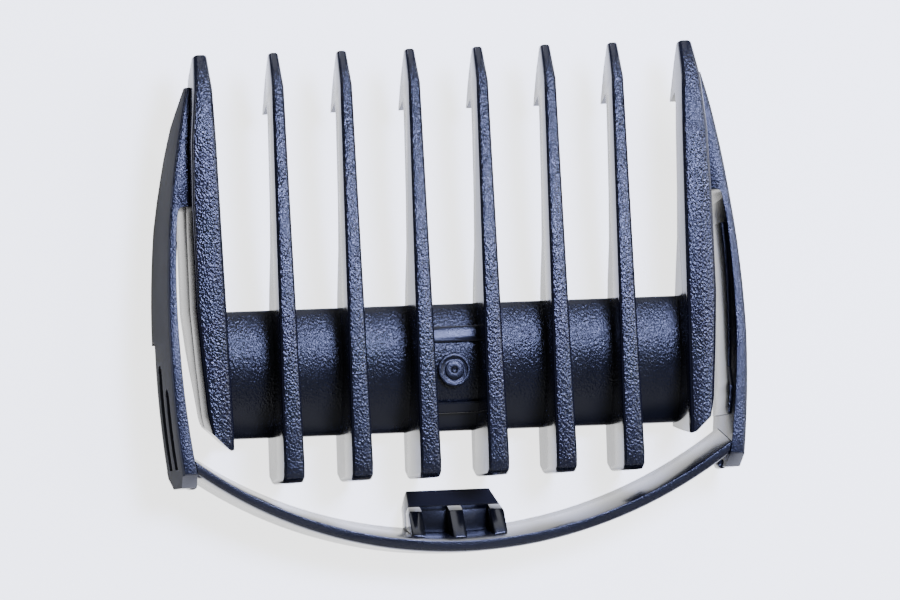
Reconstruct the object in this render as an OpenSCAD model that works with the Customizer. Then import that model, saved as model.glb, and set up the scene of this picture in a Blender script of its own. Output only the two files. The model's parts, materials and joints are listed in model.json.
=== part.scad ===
// Clipper guard comb: tines joined by a rolled crossbar, two spring arms
// beside them and a bow with a catch that joins the arms.
//
// The comb lies on the back edges of its arms. X runs across the comb,
// +Y points to the tine tips and +Z to the front, the side that meets the hair.
// Every outline below is drawn from the tine tips (y = 0) and the plane of the
// tine fronts (z = 0); in_frame() then moves it to the part's own origin.

/* [Tines] */
// Spacing of the tines, centre to centre
tine_pitch = 6.3; // [5.2:0.1:7.6]
// Length of an inner tine's foot below the crossbar
foot_length = 4.25; // [3.5:0.05:5.1]
// Thickness of an inner tine at its tip
tip_w = 0.9; // [0.75:0.02:1.1]
// Thickness of an inner tine just below its tip facet
shoulder_w = 1.12; // [0.95:0.01:1.4]
// Thickness of an inner tine at its foot
foot_w = 1.95; // [1.6:0.05:2.35]
// Length of the facet that leans back at each tip
facet_length = 3.2; // [2.4:0.1:3.8]
// How far back the facet has gone at the tip
facet_set_back = 1.5; // [1.2:0.05:1.6]
// Thickness of the nose that the facet ends in
nose_depth = 0.35; // [0.25:0.05:0.5]
// Depth of a tine behind its barb
stem_depth = 2.6; // [2.2:0.1:3.0]
// Depth of a tine at its foot
foot_depth = 7.1; // [6.2:0.1:7.6]
// Depth at the point of the barb
barb_depth = 4.9; // [4.2:0.1:5.4]
// Distance of the barb's point from the tine tip
barb_y = 5.4; // [5.0:0.1:6.0]
// How far the notch under the barb rises above the barb's point
barb_notch = 0.75; // [0.4:0.05:0.9]

/* [Outer tines] */
// Thickness of an outer tine at its tip
outer_tip_w = 1.3; // [1.1:0.05:1.6]
// Thickness of an outer tine beside the slot
outer_w = 2.65; // [2.3:0.05:3.2]
// How much shorter an outer tine's foot is than an inner one's
outer_short = 2.8; // [2.3:0.1:3.4]
// Height of the slanted cut at the foot of an outer tine
foot_cut = 1.8; // [1.5:0.1:2.2]
// Lean of that cut against the tine fronts' normal, in degrees
cut_lean = 7; // [4:0.5:8.5]
// Thickness of the cheek behind an outer tine
cheek_w = 1.3; // [1.0:0.05:1.5]
// Depth at which the cheek starts
flank_depth = 3.2; // [3.0:0.1:3.6]

/* [Crossbar] */
// Distance of the crossbar's upper edge from the tine tips
bar_top = 23.15; // [22:0.05:27.8]
// Height of the crossbar along the tines
bar_height = 11.5; // [10.5:0.1:12]
// Radius of the crossbar's rolled front
bar_r = 11; // [10:0.1:13.2]
// Wall of the crossbar
bar_wall = 1.2; // [0.9:0.05:1.45]
// Depth of the crossbar's crest behind the tine fronts
bar_set_back = 3.1; // [2.8:0.1:3.6]
// Distance of the crest below the crossbar's upper edge
bar_crest = 4.45; // [3.6:0.05:5.3]
// How far the ribs of the middle bay stand off the crossbar
rib_height = 0.45; // [0.3:0.05:0.6]
// Radius of the round pad in the middle bay
pad_r = 1.5; // [1.2:0.05:1.8]

/* [Arms] */
// Width of the slot between an outer tine and its arm
slot_w = 1.7; // [1.4:0.05:2.1]
// Radius of an arm's outer face
arm_outer_r = 98; // [90:1:118]
// Radius of an arm's inner face
arm_inner_r = 88; // [80:1:90]
// Thickness of an arm at its middle
arm_w = 0.95; // [0.85:0.05:1.2]
// How far an arm reaches below the feet of the inner tines
arm_below = 0.1; // [0.05:0.05:0.6]
// Depth of an arm from front to back
arm_depth = 8.5; // [8.4:0.1:10.2]
// Distance of the slot's closed end from the tine tips
slot_top = 13.7; // [12.5:0.1:16.4]
// Height of the pad on an arm's inner face
rail_h = 0.25; // [0.15:0.05:0.4]
// Depth of the grip grooves
groove_depth = 0.35; // [0.2:0.05:0.5]
// Width of a grip groove
groove_w = 1.4; // [1.0:0.1:1.7]

/* [Bow] */
// Lean of the bow and its catch against the tine fronts, in degrees
lean = 11.8; // [8:0.2:12]
// How far the bow sags below the line that it hangs from
bow_sag = 8.15; // [7.4:0.05:9.8]
// Thickness of the bow along its front edge
bow_w = 1; // [0.8:0.05:1.2]
// Height of the bow's lowest edge above the surface that the arms lie on
bow_lift = 0.2; // [0.2:0.05:0.8]
// Half the length of the bow's middle piece
bow_middle = 7; // [6:0.1:9]

/* [Catch] */
// Width of the catch at its base
catch_w = 8.9; // [8.3:0.05:10.7]
// Width of the catch along its top edge
catch_top_w = 7.8; // [6.9:0.05:8.2]
// Height of the catch above the bow
catch_h = 3.4; // [2.9:0.05:4.1]
// How far the catch's top strip slopes down towards the ridges
strip_drop = 1; // [0.8:0.05:1.2]
// How far the catch's top edge overhangs the bow's back edge
catch_overhang = 1.1; // [0.6:0.05:1.15]
// How far the catch's top strip reaches forwards
strip_reach = 2.6; // [2.2:0.1:2.9]
// Width of a catch ridge
ridge_w = 1.28; // [1.0:0.02:1.5]

/* [Fits] */
// Gap between pieces that move past each other
joint_gap = 0.08; // [0.05:0.01:0.12]

/* [Hidden] */

$fn = 96;
front_blue = "#3b4166";
side_grey = "#55585f";
bar_navy = "#262b42";
catch_black = "#1b1c28";
left = -1;
right = 1;
tine_count = 8;
// Larger than the part in every direction
beyond = 100;

tine_length = bar_top + bar_height + foot_length;
outer_length = tine_length - outer_short;
arm_length = tine_length + arm_below;

// Places across the comb, on its right side
outer_face_x = tine_x(tine_count) - 0.6 + outer_w;
cheek_inner_x = outer_face_x - cheek_w;
lower_face_x = outer_face_x - 1;
frame_w = (outer_face_x + slot_w + arm_w) * 2;

// The bow hangs from a line across the arms, a little above their ends
bow_hang_y = -(arm_length - 2.25);
bow_half = frame_w / 2 - 2;
bow_inner_r = (pow(bow_half, 2) + pow(bow_sag, 2)) / (2 * bow_sag);
// The bow's outer face is upright, so its sag is seen without the lean
upright_sag = bow_sag * cos(lean);
bow_outer_r = (pow(bow_half, 2) + pow(upright_sag, 2)) / (2 * upright_sag);
bow_bottom_y = bow_hang_y - bow_w - upright_sag;
overall_length = -bow_bottom_y;
bow_depth = (arm_depth - bow_lift) * cos(lean) - (bow_w + upright_sag) * sin(lean);

// Arm faces are round; these are the X places of their centres
arm_outer_x = frame_w / 2 - arm_outer_r;
arm_outer_y = -(arm_length - 12.9);
arm_inner_x = frame_w / 2 - arm_w - arm_inner_r;
arm_inner_y = -(arm_length - 15.2);
// The arm bends just below the closed end of its slot
arm_hinge_y = -(slot_top + 0.75);
slot_corner_r = 0.45;

// Side outline of the crossbar's round front
bar_y = -(bar_top + bar_crest);
bar_z = -(bar_set_back + bar_r);

// Moves an outline from the tine tips to the part's origin
module in_frame() {
    translate([0, overall_length / 2, arm_depth])
        children();
}

// Draws its children on the right, or mirrored to the left
module on_side(side) {
    if (side == right) {
        children();
    } else {
        mirror([1, 0, 0]) children();
    }
}

// Extrudes a (y, z) side outline across the comb, from x0 to x1
module across(x0, x1) {
    translate([x0, 0, 0])
        rotate([90, 0, 90])
            linear_extrude(height = x1 - x0)
                children();
}

// Extrudes an (x, y) front outline through the whole depth
module through() {
    translate([0, 0, -beyond / 2])
        linear_extrude(height = beyond)
            children();
}

// Everything with y between the two values
module band(y0, y1) {
    translate([-beyond / 2, y0])
        square([beyond, y1 - y0]);
}

// Everything on the right of the middle
module right_half() {
    translate([0, -beyond])
        square(beyond * 2);
}

function tine_x(i) = (i - (tine_count + 1) / 2) * tine_pitch;

// Side outline of a tine, drawn down the front and up the back
module tine_side(foot_y) {
    front_chamfer = 0.5;
    back_chamfer = 1.5;
    // The back swells towards the crossbar, from a straight stem
    stem_end = bar_top - 9.75;
    swell_start = bar_top - 5.25;
    swell_end = bar_top - 1.65;
    polygon([
        [0, -facet_set_back],
        [-facet_length, 0],
        [-(foot_y - 1.6), 0],
        [-(foot_y - 0.4), -front_chamfer / 2],
        [-foot_y, -front_chamfer * 2],
        [-foot_y, -(foot_depth - back_chamfer)],
        [-(foot_y - 0.8), -foot_depth],
        [-(foot_y - 4), -foot_depth],
        [-swell_end, -(stem_depth + 1.85)],
        [-swell_start, -(stem_depth + 0.8)],
        [-stem_end, -(stem_depth + 0.3)],
        [-(barb_y + 3.6), -(stem_depth + 0.1)],
        [-(barb_y + 0.3), -stem_depth],
        [-(barb_y - barb_notch), -(stem_depth + 0.3)],
        [-barb_y, -(barb_depth - 0.25)],
        [-(barb_y - 0.05), -barb_depth],
        [-(barb_y - 1), -(barb_depth - 0.5)],
        [-(barb_y - 3.4), -(facet_set_back + nose_depth + 1.3)],
        [0, -(facet_set_back + nose_depth)]
    ]);
}

// Front outline of an inner tine
module inner_tine_front() {
    polygon([
        [-tip_w / 2, 0],
        [tip_w / 2, 0],
        [shoulder_w / 2, -facet_length],
        [foot_w / 2, -tine_length],
        [-foot_w / 2, -tine_length],
        [-shoulder_w / 2, -facet_length]
    ]);
}

// Front outline of the right outer tine; its inner face closes in towards the foot
module outer_tine_front() {
    x = tine_x(tine_count);
    tip_inner_x = x - 0.2;
    shoulder_inner_x = x - 0.47;
    foot_inner_x = x - 0.95;
    shoulder_y = 8;
    // The outer face narrows again towards the foot
    taper_y = slot_top + 9.3;
    polygon([
        [tip_inner_x, 0],
        [tip_inner_x + outer_tip_w, 0],
        [outer_face_x - 0.6, -facet_length],
        [outer_face_x - 0.15, -shoulder_y],
        [outer_face_x, -slot_top],
        [outer_face_x, -taper_y],
        [outer_face_x - 0.3, -(outer_length - 8)],
        [outer_face_x - 0.65, -(outer_length - 3.5)],
        [lower_face_x, -(outer_length - foot_cut)],
        [foot_inner_x + 0.65, -(outer_length - 0.15)],
        [foot_inner_x + 0.4, -outer_length],
        [foot_inner_x + 0.15, -(outer_length - 0.1)],
        [foot_inner_x, -(outer_length - 0.4)],
        [shoulder_inner_x, -shoulder_y]
    ]);
}

// Everything beyond the slanted cut and the rising end of an outer tine's foot
module foot_bevel() {
    end_rise = 9;
    translate([lower_face_x, -(outer_length - foot_cut), 0])
        rotate([0, 0, -45])
            rotate([0, cut_lean, 0])
                translate([0, -beyond / 2, -beyond / 2])
                    cube(beyond);
    translate([0, -outer_length, 0])
        rotate([end_rise, 0, 0])
            translate([-beyond / 2, -beyond, -beyond / 2])
                cube(beyond);
}

// The whole column that a tine stands in, cut out of the crossbar's bays
module tine_column(i) {
    through()
        if (i == 1) {
            mirror([1, 0]) outer_tine_front();
        } else if (i == tine_count) {
            outer_tine_front();
        } else {
            translate([tine_x(i), 0]) inner_tine_front();
        }
}

module inner_tine(i) {
    color(front_blue)
        in_frame()
            intersection() {
                tine_column(i);
                across(tine_x(i) - foot_w, tine_x(i) + foot_w)
                    tine_side(tine_length);
            }
}

// An outer tine is full depth on its inner side only; the cheek backs the rest
module outer_tine(side) {
    color(front_blue)
        in_frame()
            on_side(side)
                difference() {
                    intersection() {
                        through()
                            outer_tine_front();
                        union() {
                            across(0, cheek_inner_x)
                                tine_side(outer_length);
                            across(0, frame_w / 2)
                                intersection() {
                                    tine_side(outer_length);
                                    translate([-beyond, -flank_depth])
                                        square([beyond * 2, beyond]);
                                }
                        }
                    }
                    foot_bevel();
                }
}

// The cheek carries on behind the outer tine and guides the blade's side
module cheek(side) {
    cheek_end = outer_length - 1.9;
    color(side_grey)
        in_frame()
            on_side(side)
                difference() {
                    intersection() {
                        through()
                            outer_tine_front();
                        across(cheek_inner_x, frame_w / 2)
                            polygon([
                                [-(slot_top - 0.7), -flank_depth],
                                [-cheek_end, -flank_depth],
                                [-cheek_end, -(flank_depth + 0.9)],
                                [-(cheek_end - 1), -(flank_depth + 1.8)],
                                [-(cheek_end - 4.2), -(flank_depth + 2.8)],
                                [-(cheek_end - 7.9), -(arm_depth - 1)],
                                [-(cheek_end - 10.7), -(arm_depth - 0.3)],
                                [-(slot_top + 2), -(arm_depth - 0.3)],
                                [-(slot_top - 0.7), -(arm_depth - 1.2)]
                            ]);
                    }
                    foot_bevel();
                }
}

// Side outline of the crossbar, between two radii of its rolled front
module bar_side(r_in, r_out, y_low, y_high) {
    intersection() {
        translate([bar_y, bar_z])
            difference() {
                circle(r = r_out, $fn = 360);
                circle(r = r_in, $fn = 360);
            }
        translate([y_low, bar_z])
            square([y_high - y_low, beyond]);
    }
}

// One bay of the crossbar, between tine i and the next
module web(i) {
    color(bar_navy)
        in_frame()
            difference() {
                across(tine_x(i), tine_x(i + 1))
                    bar_side(bar_r - bar_wall, bar_r, -(bar_top + bar_height), -bar_top);
                tine_column(i);
                tine_column(i + 1);
            }
}

// A rib across the middle bay, standing on the crossbar
module rib(from_top, height) {
    middle = tine_count / 2;
    color(bar_navy)
        in_frame()
            difference() {
                across(tine_x(middle), tine_x(middle + 1))
                    bar_side(bar_r, bar_r + rib_height, -(bar_top + from_top + height), -(bar_top + from_top));
                tine_column(middle);
                tine_column(middle + 1);
            }
}

// The round pad between the ribs, with a ring groove and a dimple
module round_pad() {
    pad_y = -(bar_top + bar_crest + 1.6);
    pad_top = -(bar_set_back - 0.2);
    groove = 0.12;
    color(bar_navy)
        in_frame()
            difference() {
                translate([0, pad_y, pad_top - 1.5])
                    cylinder(r = pad_r, h = 1.5);
                across(-pad_r * 2, pad_r * 2)
                    translate([bar_y, bar_z])
                        circle(r = bar_r, $fn = 360);
                translate([0, pad_y, pad_top - groove])
                    difference() {
                        cylinder(r = pad_r - 0.3, h = 1);
                        cylinder(r = pad_r - 0.65, h = 3, center = true);
                    }
                translate([0, pad_y, pad_top - groove])
                    cylinder(r1 = 0.12, r2 = 0.35, h = groove + 0.01);
            }
}

// Front outline of everything inside a right arm's outer face
module arm_outer_disc(inset = 0) {
    translate([arm_outer_x, arm_outer_y])
        circle(r = arm_outer_r - inset, $fn = 360);
}

// Front outline of everything inside a right arm's inner face
module arm_inner_disc(inset = 0) {
    translate([arm_inner_x, arm_inner_y])
        circle(r = arm_inner_r - inset, $fn = 360);
}

// Side outline shared by an arm and its root
module arm_side() {
    root_front = 1.3;
    // The root's upper end lies this far above the slot
    root_top = slot_top - 10.8;
    polygon([
        [-root_top, -(root_front + 0.4)],
        [-(root_top + 3.1), -root_front],
        [-slot_top, -(root_front - 0.2)],
        [-(arm_length - 12.2), 0],
        [-(arm_length - 1.2), 0],
        [-arm_length, -1.6],
        [-arm_length, -(arm_depth - 3)],
        [-(arm_length - 1), -(arm_depth - 1.3)],
        [-(arm_length - 3.2), -(arm_depth - 0.8)],
        [-(arm_length - 7.7), -arm_depth],
        [-(slot_top + 1.8), -arm_depth],
        [-(slot_top - 1.1), -(arm_depth - 0.7)],
        [-(root_top + 6.1), -(arm_depth - 1.6)],
        [-(root_top + 3.4), -(arm_depth - 2.7)],
        [-(root_top + 1.3), -(root_front + 2.5)],
        [-root_top, -(root_front + 1.3)]
    ]);
}

// The slot beside the cheek: flat at its closed end, round next to the arm
module slot_front() {
    corner_x = arm_inner_x + sqrt(pow(arm_inner_r, 2) - pow(slot_top + arm_inner_y, 2)) - slot_corner_r;
    intersection() {
        arm_inner_disc();
        band(-beyond, -(slot_top + slot_corner_r));
    }
    translate([0, -(slot_top + slot_corner_r) - 0.01])
        square([corner_x, slot_corner_r + 0.01]);
    translate([corner_x, -(slot_top + slot_corner_r)])
        circle(r = slot_corner_r);
}

// The root joins the arm to the flank of the outer tine
module arm_root(side) {
    color(front_blue)
        in_frame()
            on_side(side)
                difference() {
                    intersection() {
                        through()
                            intersection() {
                                arm_outer_disc();
                                band(arm_hinge_y, 0);
                                translate([cheek_inner_x, -beyond / 2])
                                    square(beyond);
                            }
                        across(0, frame_w)
                            arm_side();
                    }
                    through()
                        outer_tine_front();
                    through()
                        slot_front();
                }
}

// The three grooves start one above the other and end level
module grip_grooves() {
    groove_step = 2.6;
    groove_bottom = arm_length - 1.7;
    for (k = [0:2]) {
        top = arm_length - 8.3 - 2.25 * k;
        z = -(2.7 + k * groove_step);
        across(0, frame_w) {
            translate([-groove_bottom, z - groove_w / 2])
                square([groove_bottom - top, groove_w]);
            translate([-top, z])
                circle(r = groove_w / 2);
        }
    }
}

module arm(side) {
    color(front_blue)
        in_frame()
            on_side(side)
                difference() {
                    intersection() {
                        through()
                            intersection() {
                                difference() {
                                    arm_outer_disc();
                                    arm_inner_disc();
                                }
                                band(-beyond, arm_hinge_y - joint_gap);
                                right_half();
                            }
                        across(0, frame_w)
                            arm_side();
                    }
                    difference() {
                        grip_grooves();
                        through()
                            arm_outer_disc(groove_depth);
                    }
                }
}

// The pad on an arm's inner face that runs along the clipper's side
module rail(side) {
    color(side_grey)
        in_frame()
            on_side(side)
                intersection() {
                    through()
                        intersection() {
                            difference() {
                                arm_inner_disc();
                                arm_inner_disc(rail_h);
                            }
                            right_half();
                        }
                    across(0, frame_w)
                        polygon([
                            [-(slot_top + 3), -1.9],
                            [-(slot_top + 3), -(arm_depth - 0.6)],
                            [-(arm_length - 7.7), -(arm_depth - 0.6)],
                            [-(arm_length - 4.8), -(arm_depth - 1.2)],
                            [-(arm_length - 4.8), -1.3],
                            [-(arm_length - 7.4), -1.3],
                            [-(arm_length - 9.2), -2.4]
                        ]);
                }
}

// A small round foot at an arm's lower end, under the bow
module foot(side) {
    foot_r = 0.42;
    foot_front = 3;
    foot_height = 1.6;
    color(side_grey)
        in_frame()
            on_side(side)
                difference() {
                    translate([frame_w / 2 - 2.15, -(arm_length - 0.3), -(foot_front + foot_height)])
                        cylinder(r = foot_r, h = foot_height);
                    through()
                        intersection() {
                            difference() {
                                arm_outer_disc();
                                arm_inner_disc();
                            }
                            band(-arm_length, 0);
                        }
                }
}

// Leans its children like the bow; y = 0 is the line the bow hangs from
module in_bow_frame() {
    in_frame()
        translate([0, bow_hang_y, 0])
            rotate([lean, 0, 0])
                children();
}

// Everything above the bow's inner face
module above_bow() {
    translate([0, bow_inner_r - bow_sag, -beyond / 2])
        cylinder(r = bow_inner_r, h = beyond, $fn = 360);
}

// The bow's wall: its inner face leans, its outer face is upright
module bow_wall() {
    difference() {
        intersection() {
            in_frame()
                through()
                    translate([0, bow_bottom_y + bow_outer_r])
                        circle(r = bow_outer_r, $fn = 360);
            in_bow_frame()
                translate([-beyond / 2, -beyond, -bow_depth])
                    cube([beyond, beyond + 2, bow_depth]);
        }
        in_bow_frame()
            above_bow();
    }
}

module bow_middle_piece() {
    color(bar_navy)
        intersection() {
            bow_wall();
            translate([-bow_middle, -beyond, -beyond / 2])
                cube([bow_middle * 2, beyond, beyond]);
        }
}

// One side of the bow, from the middle piece to the arm
module bow_side(side) {
    color(bar_navy)
        on_side(side)
            intersection() {
                bow_wall();
                translate([bow_middle + joint_gap, -beyond, -beyond / 2])
                    cube([beyond, beyond, beyond]);
                in_frame()
                    through()
                        arm_inner_disc(joint_gap);
            }
}

// Front outline of the catch, with its upper corners cut back
module catch_front() {
    polygon([
        [-catch_w / 2, -bow_sag - 1],
        [catch_w / 2, -bow_sag - 1],
        [catch_w / 2, -bow_sag + catch_h * 0.55],
        [catch_top_w / 2, -bow_sag + catch_h],
        [-catch_top_w / 2, -bow_sag + catch_h],
        [-catch_w / 2, -bow_sag + catch_h * 0.55]
    ]);
}

// The catch's back wall and sloping top strip
module catch_block() {
    base = -bow_sag;
    top = base + catch_h;
    top_depth = bow_depth + catch_overhang;
    color(catch_black)
        in_bow_frame()
            intersection() {
                above_bow();
                through()
                    catch_front();
                across(-catch_w, catch_w)
                    polygon([
                        [top, -top_depth],
                        [top - 0.2, -(top_depth - 0.25)],
                        [top - strip_drop, -(top_depth - strip_reach)],
                        [top - strip_drop - 0.4, -(top_depth - strip_reach + 0.2)],
                        [base - 1, -(bow_depth - 2)],
                        [base - 1, -bow_depth],
                        [base + 1, -bow_depth],
                        [top - 0.6, -top_depth]
                    ]);
            }
}

// A ridge in front of the catch's back wall; k runs from 0 at the left
module catch_ridge(k) {
    base = -bow_sag;
    ridge_x = (k - 1) * (catch_w - ridge_w) / 2;
    ridge_top = base + catch_h - strip_drop;
    strip_end = bow_depth + catch_overhang - strip_reach;
    color(catch_black)
        in_bow_frame()
            intersection() {
                above_bow();
                through()
                    catch_front();
                across(ridge_x - ridge_w / 2, ridge_x + ridge_w / 2)
                    polygon([
                        [ridge_top, -strip_end],
                        [ridge_top - 0.3, -(strip_end - 1)],
                        [base - 1, -1],
                        [base - 1, -(bow_depth - 2)],
                        [ridge_top - 0.4, -(strip_end + 0.2)]
                    ]);
            }
}

outer_tine(left);  // tine_1
inner_tine(2);  // tine_2
inner_tine(3);  // tine_3
inner_tine(4);  // tine_4
inner_tine(5);  // tine_5
inner_tine(6);  // tine_6
inner_tine(7);  // tine_7
outer_tine(right);  // tine_8
web(1);  // web_1
web(2);  // web_2
web(3);  // web_3
web(4);  // web_4
web(5);  // web_5
web(6);  // web_6
web(7);  // web_7
rib(2.05, 1.45);  // upper_rib
rib(8.95, 1);  // lower_rib
round_pad();
cheek(left);  // left_cheek
cheek(right);  // right_cheek
arm_root(left);  // left_root
arm_root(right);  // right_root
arm(left);  // left_arm
arm(right);  // right_arm
rail(left);  // left_rail
rail(right);  // right_rail
foot(left);  // left_foot
foot(right);  // right_foot
bow_side(left);  // bow_left
bow_middle_piece();
bow_side(right);  // bow_right
catch_block();
catch_ridge(0);  // catch_ridge_1
catch_ridge(1);  // catch_ridge_2
catch_ridge(2);  // catch_ridge_3
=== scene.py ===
"""The looks of a clipper guard comb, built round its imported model."""

import json
import math

import bmesh
import bpy
from mathutils import Matrix, Vector


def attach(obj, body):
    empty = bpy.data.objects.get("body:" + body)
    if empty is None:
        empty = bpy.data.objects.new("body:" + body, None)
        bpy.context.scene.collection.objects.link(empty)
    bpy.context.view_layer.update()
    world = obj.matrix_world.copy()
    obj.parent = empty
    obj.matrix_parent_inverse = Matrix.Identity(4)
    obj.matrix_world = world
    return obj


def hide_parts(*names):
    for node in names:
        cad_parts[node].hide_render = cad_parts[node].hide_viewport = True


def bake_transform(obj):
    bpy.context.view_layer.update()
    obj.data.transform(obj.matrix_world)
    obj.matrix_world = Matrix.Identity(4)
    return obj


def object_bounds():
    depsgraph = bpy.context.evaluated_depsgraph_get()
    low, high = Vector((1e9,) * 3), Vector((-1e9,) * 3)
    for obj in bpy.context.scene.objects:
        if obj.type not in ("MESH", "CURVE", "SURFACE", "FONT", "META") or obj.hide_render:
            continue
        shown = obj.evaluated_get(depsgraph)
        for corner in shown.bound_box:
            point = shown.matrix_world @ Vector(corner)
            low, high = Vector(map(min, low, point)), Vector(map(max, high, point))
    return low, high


MM = 0.001

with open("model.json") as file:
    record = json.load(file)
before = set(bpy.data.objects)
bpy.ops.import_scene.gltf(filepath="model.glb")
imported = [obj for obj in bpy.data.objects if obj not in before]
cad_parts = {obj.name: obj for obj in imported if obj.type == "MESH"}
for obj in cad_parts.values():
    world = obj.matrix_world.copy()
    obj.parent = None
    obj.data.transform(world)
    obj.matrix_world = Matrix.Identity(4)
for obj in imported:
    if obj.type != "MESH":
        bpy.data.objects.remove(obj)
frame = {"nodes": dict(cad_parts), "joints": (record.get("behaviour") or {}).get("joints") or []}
cad_low, cad_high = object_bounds()
hinges = {joint["name"]: joint for joint in frame["joints"]}

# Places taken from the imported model
TIPS_Y = cad_high.y
FRONT_Z = cad_high.z
TINES = [f"tine_{i}" for i in range(1, 9)]
WEBS = [f"web_{i}" for i in range(1, 8)]


# ---------------------------------------------------------------- materials

ABS_IOR = 1.53
# The normal's z at which the eroded grain starts, and at which it is whole
GRAIN_STARTS = 0.86
GRAIN_WHOLE = 0.96
GRAIN_SLANT = math.radians(32)
GRAIN_STRETCH = 0.75
PATCH_MM = 6


def linear(hex_colour):
    """An sRGB hex colour as linear RGBA."""
    parts = [int(hex_colour[i:i + 2], 16) / 255 for i in (1, 3, 5)]
    return [c / 12.92 if c <= 0.04045 else ((c + 0.055) / 1.055) ** 2.4 for c in parts] + [1]


def add_node(tree, kind, inputs=None, **settings):
    """Adds a node; an input is given a value, or a socket that feeds it."""
    node = tree.nodes.new(kind)
    for key, value in settings.items():
        setattr(node, key, value)
    for key, value in (inputs or {}).items():
        if isinstance(value, bpy.types.NodeSocket):
            tree.links.new(value, node.inputs[key])
        else:
            node.inputs[key].default_value = value
    return node


def moulded_abs(
    name, colour, worn_colour, grain_mm, grain_height_mm, rough, polished, specular=0.5,
):
    """Injection-moulded ABS: spark-eroded grain where it faces the front, polished steel's
    smoothness on the sides that slid out of the mould."""
    material = bpy.data.materials.new(name)
    material.use_nodes = True
    tree = material.node_tree
    shader = tree.nodes["Principled BSDF"]
    shader.inputs["IOR"].default_value = ABS_IOR
    shader.inputs["Specular IOR Level"].default_value = specular
    place = add_node(tree, "ShaderNodeTexCoord")
    normal = add_node(tree, "ShaderNodeSeparateXYZ", {0: place.outputs["Normal"]})
    facing = add_node(tree, "ShaderNodeMapRange", {
        "Value": normal.outputs["Z"], "From Min": GRAIN_STARTS, "From Max": GRAIN_WHOLE,
    }, interpolation_type="SMOOTHSTEP")
    # The grain runs slightly aslant and is longer than wide. The real one is finer, and is
    # drawn as coarse as it needs to be to show
    slant = add_node(tree, "ShaderNodeMapping", {
        "Vector": place.outputs["Object"], "Rotation": (0, 0, GRAIN_SLANT),
        "Scale": (1, GRAIN_STRETCH, 1),
    })
    grain = add_node(tree, "ShaderNodeTexNoise", {
        "Vector": slant.outputs[0], "Scale": 1 / (grain_mm * MM), "Detail": 1.0,
        "Roughness": 0.5, "Distortion": 0.1,
    })
    height = add_node(tree, "ShaderNodeMath", {
        0: grain.outputs["Fac"], 1: facing.outputs[0],
    }, operation="MULTIPLY")
    bump = add_node(tree, "ShaderNodeBump", {
        "Height": height.outputs[0], "Distance": grain_height_mm * MM, "Strength": 1,
    })
    tree.links.new(bump.outputs[0], shader.inputs["Normal"])
    # Handling leaves the plastic a little paler in soft patches
    patches = add_node(tree, "ShaderNodeTexNoise", {
        "Vector": place.outputs["Object"], "Scale": 1 / (PATCH_MM * MM), "Detail": 3,
    })
    tint = add_node(tree, "ShaderNodeMix", {
        0: patches.outputs["Fac"], 6: linear(colour), 7: linear(worn_colour),
    }, data_type="RGBA")
    tree.links.new(tint.outputs[2], shader.inputs["Base Color"])
    # Roughness goes from the polished sides to the eroded front, and varies with the patches
    smears = add_node(tree, "ShaderNodeMapRange", {
        "Value": patches.outputs["Fac"], "From Min": 0.3, "From Max": 0.7,
        "To Min": -0.04, "To Max": 0.05,
    })
    sides_to_front = add_node(tree, "ShaderNodeMapRange", {
        "Value": facing.outputs[0], "To Min": polished, "To Max": rough,
    })
    total = add_node(tree, "ShaderNodeMath", {
        0: sides_to_front.outputs[0], 1: smears.outputs[0],
    }, operation="ADD")
    tree.links.new(total.outputs[0], shader.inputs["Roughness"])
    return material


# Dark blue-black ABS with an eroded grain that sparkles under a small light
tine_abs = moulded_abs(
    "tine_abs", "#0f1019", "#12141f",
    grain_mm=0.18, grain_height_mm=0.085, rough=0.25, polished=0.2, specular=0.4,
)
# The same plastic from a finer part of the mould: satin, with a broad soft highlight
crossbar_abs = moulded_abs(
    "crossbar_abs", "#101116", "#14151b",
    grain_mm=0.16, grain_height_mm=0.06, rough=0.27, polished=0.3, specular=0.3,
)
# Ribs and pad were cut in a polished insert of the mould, so their edges glint
rib_abs = moulded_abs(
    "rib_abs", "#0f1016", "#13141b",
    grain_mm=0.13, grain_height_mm=0.02, rough=0.3, polished=0.3, specular=0.3,
)
# The arms carry a finer grain on their front edges
arm_abs = moulded_abs(
    "arm_abs", "#10121c", "#141622",
    grain_mm=0.14, grain_height_mm=0.05, rough=0.28, polished=0.22, specular=0.36,
)
# The arms' outer faces have no specular reflection at all, which keeps the pale table out of
# them. Their grey base colour is a painted reflection of the table instead
grip_painted_reflection_abs = moulded_abs(
    "grip_painted_reflection_abs", "#3a3a3b", "#464645",
    grain_mm=0.12, grain_height_mm=0.01, rough=0.6, polished=0.6, specular=0,
)
# The bow has a fine grain and glossier sides
bow_abs = moulded_abs(
    "bow_abs", "#101119", "#141620",
    grain_mm=0.13, grain_height_mm=0.035, rough=0.28, polished=0.22,
)
# The catch came off polished steel, so it is glossy and nearly black
catch_abs = moulded_abs(
    "catch_abs", "#08080c", "#0b0c11",
    grain_mm=0.2, grain_height_mm=0.006, rough=0.2, polished=0.14,
)
# Its lip has no specular reflection either; its paler base colour is a painted reflection of the
# table on this sloping strip
lip_painted_reflection_abs = moulded_abs(
    "lip_painted_reflection_abs", "#1b1b20", "#212127",
    grain_mm=0.13, grain_height_mm=0.02, rough=0.5, polished=0.5, specular=0,
)


# ------------------------------------------------------------ piece helpers

# Vertices closer than this are one corner, in a node's copy and after a rounding
SAME_CORNER_MM = 0.001
SAME_CORNER_ROUNDED_MM = 0.002
# Reaches over half the working gap at a flexing line, but not to the next feature
GAP_REACH_MM = 0.06
# Faces that turn less than this are one flat face
FLAT_DEG = 0.3
FLAT_MERGED_DEG = 0.5
SMOOTH_DEG = 32


def pick(piece):
    """Selects one piece alone and makes it active."""
    bpy.ops.object.select_all(action="DESELECT")
    piece.select_set(True)
    bpy.context.view_layer.objects.active = piece


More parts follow.
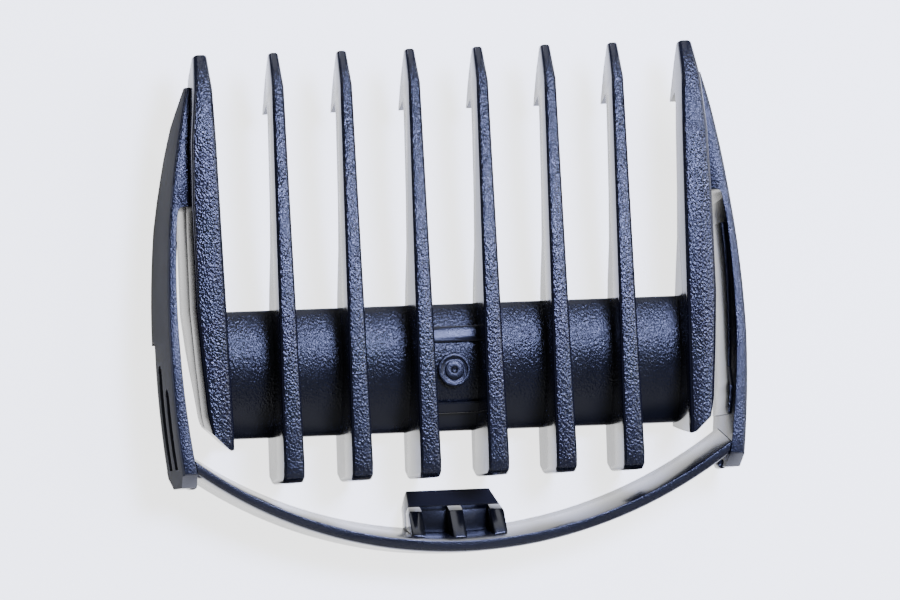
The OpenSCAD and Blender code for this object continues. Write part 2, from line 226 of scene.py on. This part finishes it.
def edit(piece):
    """Opens a piece for editing with nothing selected, and returns its mesh."""
    pick(piece)
    bpy.ops.object.mode_set(mode="EDIT")
    bpy.ops.mesh.select_mode(type="EDGE")
    bpy.ops.mesh.select_all(action="DESELECT")
    return bmesh.from_edit_mesh(piece.data)


def leave(piece):
    """Closes a piece after editing."""
    bmesh.update_edit_mesh(piece.data)
    bpy.ops.object.mode_set(mode="OBJECT")


def copy_nodes(name, *nodes):
    """Copies CAD nodes into one new piece that stands for them, with whole flat faces."""
    copies = []
    bpy.ops.object.select_all(action="DESELECT")
    for node in nodes:
        copy = bpy.data.objects.new(name, frame["nodes"][node].data.copy())
        bpy.context.scene.collection.objects.link(copy)
        copy.data.materials.clear()
        copy.select_set(True)
        copies.append(copy)
    piece = copies[0]
    bpy.context.view_layer.objects.active = piece
    if len(copies) > 1:
        bpy.ops.object.join()
    edit(piece)
    bpy.ops.mesh.select_all(action="SELECT")
    bpy.ops.mesh.remove_doubles(threshold=SAME_CORNER_MM * MM)
    bpy.ops.mesh.customdata_custom_splitnormals_clear()
    bpy.ops.mesh.dissolve_limited(angle_limit=math.radians(FLAT_DEG))
    leave(piece)
    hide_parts(*nodes)
    return piece


def merge_close(piece, distance_mm):
    """Merges slivers, which would hold a rounding back."""
    edit(piece)
    bpy.ops.mesh.select_all(action="SELECT")
    bpy.ops.mesh.remove_doubles(threshold=distance_mm * MM)
    bpy.ops.mesh.dissolve_limited(angle_limit=math.radians(FLAT_MERGED_DEG))
    leave(piece)


def weld_split(piece, place, along):
    """Closes the working gap at a flexing line, so that the plastic runs through it."""
    mesh = edit(piece)
    on_plane = set()
    for vertex in mesh.verts:
        distance = (vertex.co - place).dot(along)
        if abs(distance) < GAP_REACH_MM * MM:
            vertex.co -= along * distance
            on_plane.add(vertex)
    for face in mesh.faces:
        if all(vertex in on_plane for vertex in face.verts):
            face.select_set(True)
    bmesh.update_edit_mesh(piece.data)
    bpy.ops.mesh.delete(type="ONLY_FACE")
    bpy.ops.mesh.select_all(action="SELECT")
    bpy.ops.mesh.remove_doubles(threshold=GAP_REACH_MM * MM)
    leave(piece)


def round_edges(
    piece, radius_mm, wanted, segments=3, sharper_than=25, longer_than_mm=0, clamp=True,
):
    """Rounds the sharp edges that wanted(edge) picks. A long run with short steps in it is
    rounded without the clamp, which would take its radius from the shortest step."""
    mesh = edit(piece)
    limit = math.radians(sharper_than)
    count = 0
    for edge in mesh.edges:
        if edge.calc_length() < longer_than_mm * MM:
            continue
        if len(edge.link_faces) == 2 and edge.calc_face_angle() > limit and wanted(edge):
            edge.select = True
            count += 1
    if count:
        bpy.ops.mesh.bevel(
            offset=radius_mm * MM, segments=segments, profile=0.5, clamp_overlap=clamp,
        )
    bpy.ops.mesh.select_all(action="SELECT")
    bpy.ops.mesh.remove_doubles(threshold=SAME_CORNER_ROUNDED_MM * MM)
    bpy.ops.mesh.dissolve_degenerate(threshold=SAME_CORNER_ROUNDED_MM * MM)
    leave(piece)


def paint(piece, material, wanted):
    """Gives the faces that wanted(face) picks a second finish."""
    piece.data.materials.append(material)
    index = len(piece.data.materials) - 1
    for face in piece.data.polygons:
        if wanted(face):
            face.material_index = index


def shade(piece, material):
    """Shades a piece and gives it its plastic."""
    piece.data.materials.append(material)
    pick(piece)
    bpy.ops.object.shade_smooth_by_angle(angle=math.radians(SMOOTH_DEG))


def finish(piece, material, body):
    """Shades a piece, gives it its plastic and lets it move with its body."""
    shade(piece, material)
    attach(piece, body)


# -------------------------------------------------------- which edges, faces

def normals(edge):
    """The normals of the faces beside an edge."""
    return [face.normal for face in edge.link_faces]


def lowest(edge):
    """The height of an edge's lower end."""
    return min(vertex.co.z for vertex in edge.verts)


def any_edge(edge):
    """True everywhere, for a piece that is rounded all over."""
    return True


def front_outline(edge):
    """True where a side face meets the front, the tip or the sole, near the front."""
    first, second = normals(edge)
    if abs(first.x) < abs(second.x):
        first, second = second, first
    high = max(vertex.co.z for vertex in edge.verts)
    return abs(first.x) > 0.8 and abs(second.x) < 0.6 and high > FRONT_Z - 1.55 * MM


def away_from_tines(edge):
    """True where neither face looks sideways at a tine."""
    return all(abs(normal.x) < 0.5 for normal in normals(edge))


def away_from_bow_ends(edge):
    """True where neither face closes an end of the bow."""
    return all(abs(normal.x) < 0.95 for normal in normals(edge))


def outer_front(edge):
    """True along the line where an arm's outer face meets its front."""
    first, second = sorted(normals(edge), key=lambda normal: normal.z)
    outward = first.x * (1 if edge.verts[0].co.x > 0 else -1)
    return lowest(edge) > FRONT_Z - 2 * MM and second.z > 0.7 and outward > 0.7


def off_the_table(edge):
    """True for an edge that stands clear of the table."""
    return lowest(edge) > 1 * MM


def bow_outer(edge):
    """True along the line where the bow's outer face meets its front."""
    first, second = sorted(normals(edge), key=lambda normal: normal.z)
    return second.z > 0.7 and first.y < -0.5


def on_lip(face):
    """True on the strip that slopes along the top of the catch block."""
    return face.normal.z > 0.25 and face.normal.y > 0.1 and face.area > (0.7 * MM) ** 2


def bow_direction(mesh, flex):
    """The bow's direction at a flexing line, from the nearest end face, towards +x."""
    ends = [face for face in mesh.faces if abs(face.normal.x) > 0.9]
    end = min(ends, key=lambda face: (face.calc_center_median() - flex).length)
    return end.normal * (1 if end.normal.x > 0 else -1)


# ------------------------------------------------------------ tines and bar

for node in TINES:
    tine = copy_nodes(f"{node}_moulding", node)
    outermost = node in (TINES[0], TINES[-1])
    if outermost:
        merge_close(tine, 0.12)
    round_edges(tine, 0.36 if outermost else 0.27, front_outline, segments=4, clamp=False)
    round_edges(tine, 0.06, any_edge, segments=2, longer_than_mm=0.3, sharper_than=32)
    finish(tine, tine_abs, "comb")

for node in WEBS:
    web = copy_nodes(f"{node}_moulding", node)
    round_edges(web, 0.14, away_from_tines)
    finish(web, crossbar_abs, "comb")

for node in ("upper_rib", "lower_rib"):
    rib = copy_nodes(f"{node}_moulding", node)
    round_edges(rib, 0.16, away_from_tines)
    finish(rib, rib_abs, "comb")

pad = copy_nodes("round_pad_moulding", "round_pad")
round_edges(pad, 0.05, any_edge, segments=2)
finish(pad, rib_abs, "comb")


# ------------------------------------------------------------- arms and bow

# The bow's halves overlap by a hair at the centre line, so that no light gets between them
HALVES_OVERLAP_MM = 0.02
UP_THE_ARM = Vector((0, 1, 0))

for side, sign in (("left", -1), ("right", 1)):
    cheek = copy_nodes(f"{side}_cheek_moulding", f"{side}_cheek")
    round_edges(cheek, 0.12, any_edge)
    finish(cheek, arm_abs, "comb")

    # An arm and its root are one moulding, welded through its flexing line
    flex = Vector(hinges[f"arm_flex_{side}"]["pos_m"])
    arm = copy_nodes(f"{side}_arm_moulding", f"{side}_root", f"{side}_arm")
    weld_split(arm, flex, UP_THE_ARM)
    merge_close(arm, 0.05)
    round_edges(arm, 0.3, outer_front, segments=4, clamp=False)
    round_edges(
        arm, 0.07, off_the_table, segments=2, longer_than_mm=0.5, sharper_than=40, clamp=False,
    )
    shade(arm, arm_abs)
    # The outward faces get the grey finish, a painted reflection of the table
    paint(arm, grip_painted_reflection_abs, lambda face: face.normal.x * sign > 0.55)
    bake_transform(arm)

    rail = copy_nodes(f"{side}_rail_moulding", f"{side}_rail")
    round_edges(rail, 0.05, any_edge, segments=2)
    finish(rail, arm_abs, f"{side}_arm_body")

    foot = copy_nodes(f"{side}_foot_moulding", f"{side}_foot")
    round_edges(foot, 0.1, any_edge, segments=2)
    finish(foot, arm_abs, f"{side}_arm_body")

    # Half the bow: its middle as far as the centre line, and the link to the arm
    flex = Vector(hinges[f"bow_flex_{side}"]["pos_m"])
    bow = copy_nodes(f"{side}_bow_moulding", f"bow_{side}", "bow_middle_piece")
    along = bow_direction(edit(bow), flex)
    bpy.ops.mesh.select_all(action="SELECT")
    bpy.ops.mesh.bisect(
        plane_co=(0, 0, 0), plane_no=(sign, 0, 0), clear_inner=True, use_fill=True,
        threshold=0.0001 * MM,
    )
    leave(bow)
    weld_split(bow, flex, along)
    merge_close(bow, 0.01)
    round_edges(bow, 0.3, bow_outer, segments=4, clamp=False)
    round_edges(bow, 0.1, away_from_bow_ends, segments=2)
    for vertex in bow.data.vertices:
        if abs(vertex.co.x) < SAME_CORNER_MM * MM:
            vertex.co.x = -sign * HALVES_OVERLAP_MM * MM
    shade(bow, bow_abs)
    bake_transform(bow)

for node in ("catch_block", "catch_ridge_1", "catch_ridge_2", "catch_ridge_3"):
    piece = copy_nodes(f"{node}_moulding", node)
    round_edges(piece, 0.08, any_edge, segments=2)
    finish(piece, catch_abs, "bow_middle_body")
    if node == "catch_block":
        # The sloping lip gets a paler finish, a painted reflection of the table
        paint(piece, lip_painted_reflection_abs, on_lip)


# -------------------------------------------------------------------- stage

# A pale light table, bright enough to leave no hard shadow under the comb
TABLE_SIZE = 4
bpy.ops.mesh.primitive_plane_add(size=TABLE_SIZE, location=(0, 0, 0))
table = bpy.context.active_object
table.name = "light_table"
table_top = bpy.data.materials.new("light_table_acrylic")
table_top.use_nodes = True
acrylic = table_top.node_tree.nodes["Principled BSDF"]
acrylic.inputs["Base Color"].default_value = linear("#f2f2f2")
acrylic.inputs["Roughness"].default_value = 0.9
acrylic.inputs["Emission Color"].default_value = linear("#ffffff")
acrylic.inputs["Emission Strength"].default_value = 2.5
table.data.materials.append(table_top)

# The comb is seen from its left, with the bow's lean upright in the view
TURN = math.radians(12.5)
TILT = math.radians(9.5)
LEAN = math.radians(11.8)
AIM_BELOW_TIPS = 23 * MM
DISTANCE = 904 * MM
SIDESTEP = 0.77 * MM

lean_up = Vector((0, math.cos(LEAN), math.sin(LEAN)))
lean_out = Vector((0, -math.sin(LEAN), math.cos(LEAN)))
look = (
    Vector((math.sin(TURN), 0, 0))
    - (lean_up * math.sin(TILT) + lean_out * math.cos(TILT)) * math.cos(TURN)
)
look.normalize()
right = look.cross(lean_up).normalized()
up = right.cross(look)
aim = Vector((0, TIPS_Y - AIM_BELOW_TIPS, FRONT_Z))

camera_data = bpy.data.cameras.new("camera")
camera_data.lens = 400
camera_data.sensor_width = 36
camera_data.clip_start = 0.05
camera = bpy.data.objects.new("camera", camera_data)
bpy.context.scene.collection.objects.link(camera)
spot = aim - look * DISTANCE - right * SIDESTEP
camera.matrix_world = Matrix((
    (right.x, up.x, -look.x, spot.x),
    (right.y, up.y, -look.y, spot.y),
    (right.z, up.z, -look.z, spot.z),
    (0, 0, 0, 1),
))
bpy.context.scene.camera = camera


def softbox(name, direction, distance, size, power, colour):
    """A square light that faces the comb."""
    data = bpy.data.lights.new(name, "AREA")
    data.size = size
    data.energy = power
    data.color = linear(colour)[:3]
    light = bpy.data.objects.new(name, data)
    bpy.context.scene.collection.objects.link(light)
    away = Vector(direction).normalized()
    light.location = aim + away * distance
    light.rotation_euler = away.to_track_quat("Z", "Y").to_euler()


# The key light stands close over the tips and a little to the right
softbox(
    "key_softbox", (0.24, 0.29, 0.93), distance=0.3, size=0.085, power=1.95, colour="#a9b5f6",
)
# A broad dim one on the right draws the bright line down each right edge
softbox("edge_softbox", (0.8, 0.1, 0.6), distance=0.5, size=0.3, power=2.2, colour="#dfe6ff")
# Another beyond the tips lights the facets
softbox("tip_softbox", (0.1, 0.85, 0.5), distance=0.5, size=0.3, power=0.6, colour="#f2f5ff")
# The last keeps the lower half of the bar from going black
softbox("sole_softbox", (0.0, -0.8, 0.6), distance=0.5, size=0.4, power=0.5, colour="#f4f6ff")

world = bpy.data.worlds.new("studio")
bpy.context.scene.world = world
world.use_nodes = True
background = world.node_tree.nodes["Background"]
background.inputs["Color"].default_value = linear("#a4a8ae")
background.inputs["Strength"].default_value = 0.45
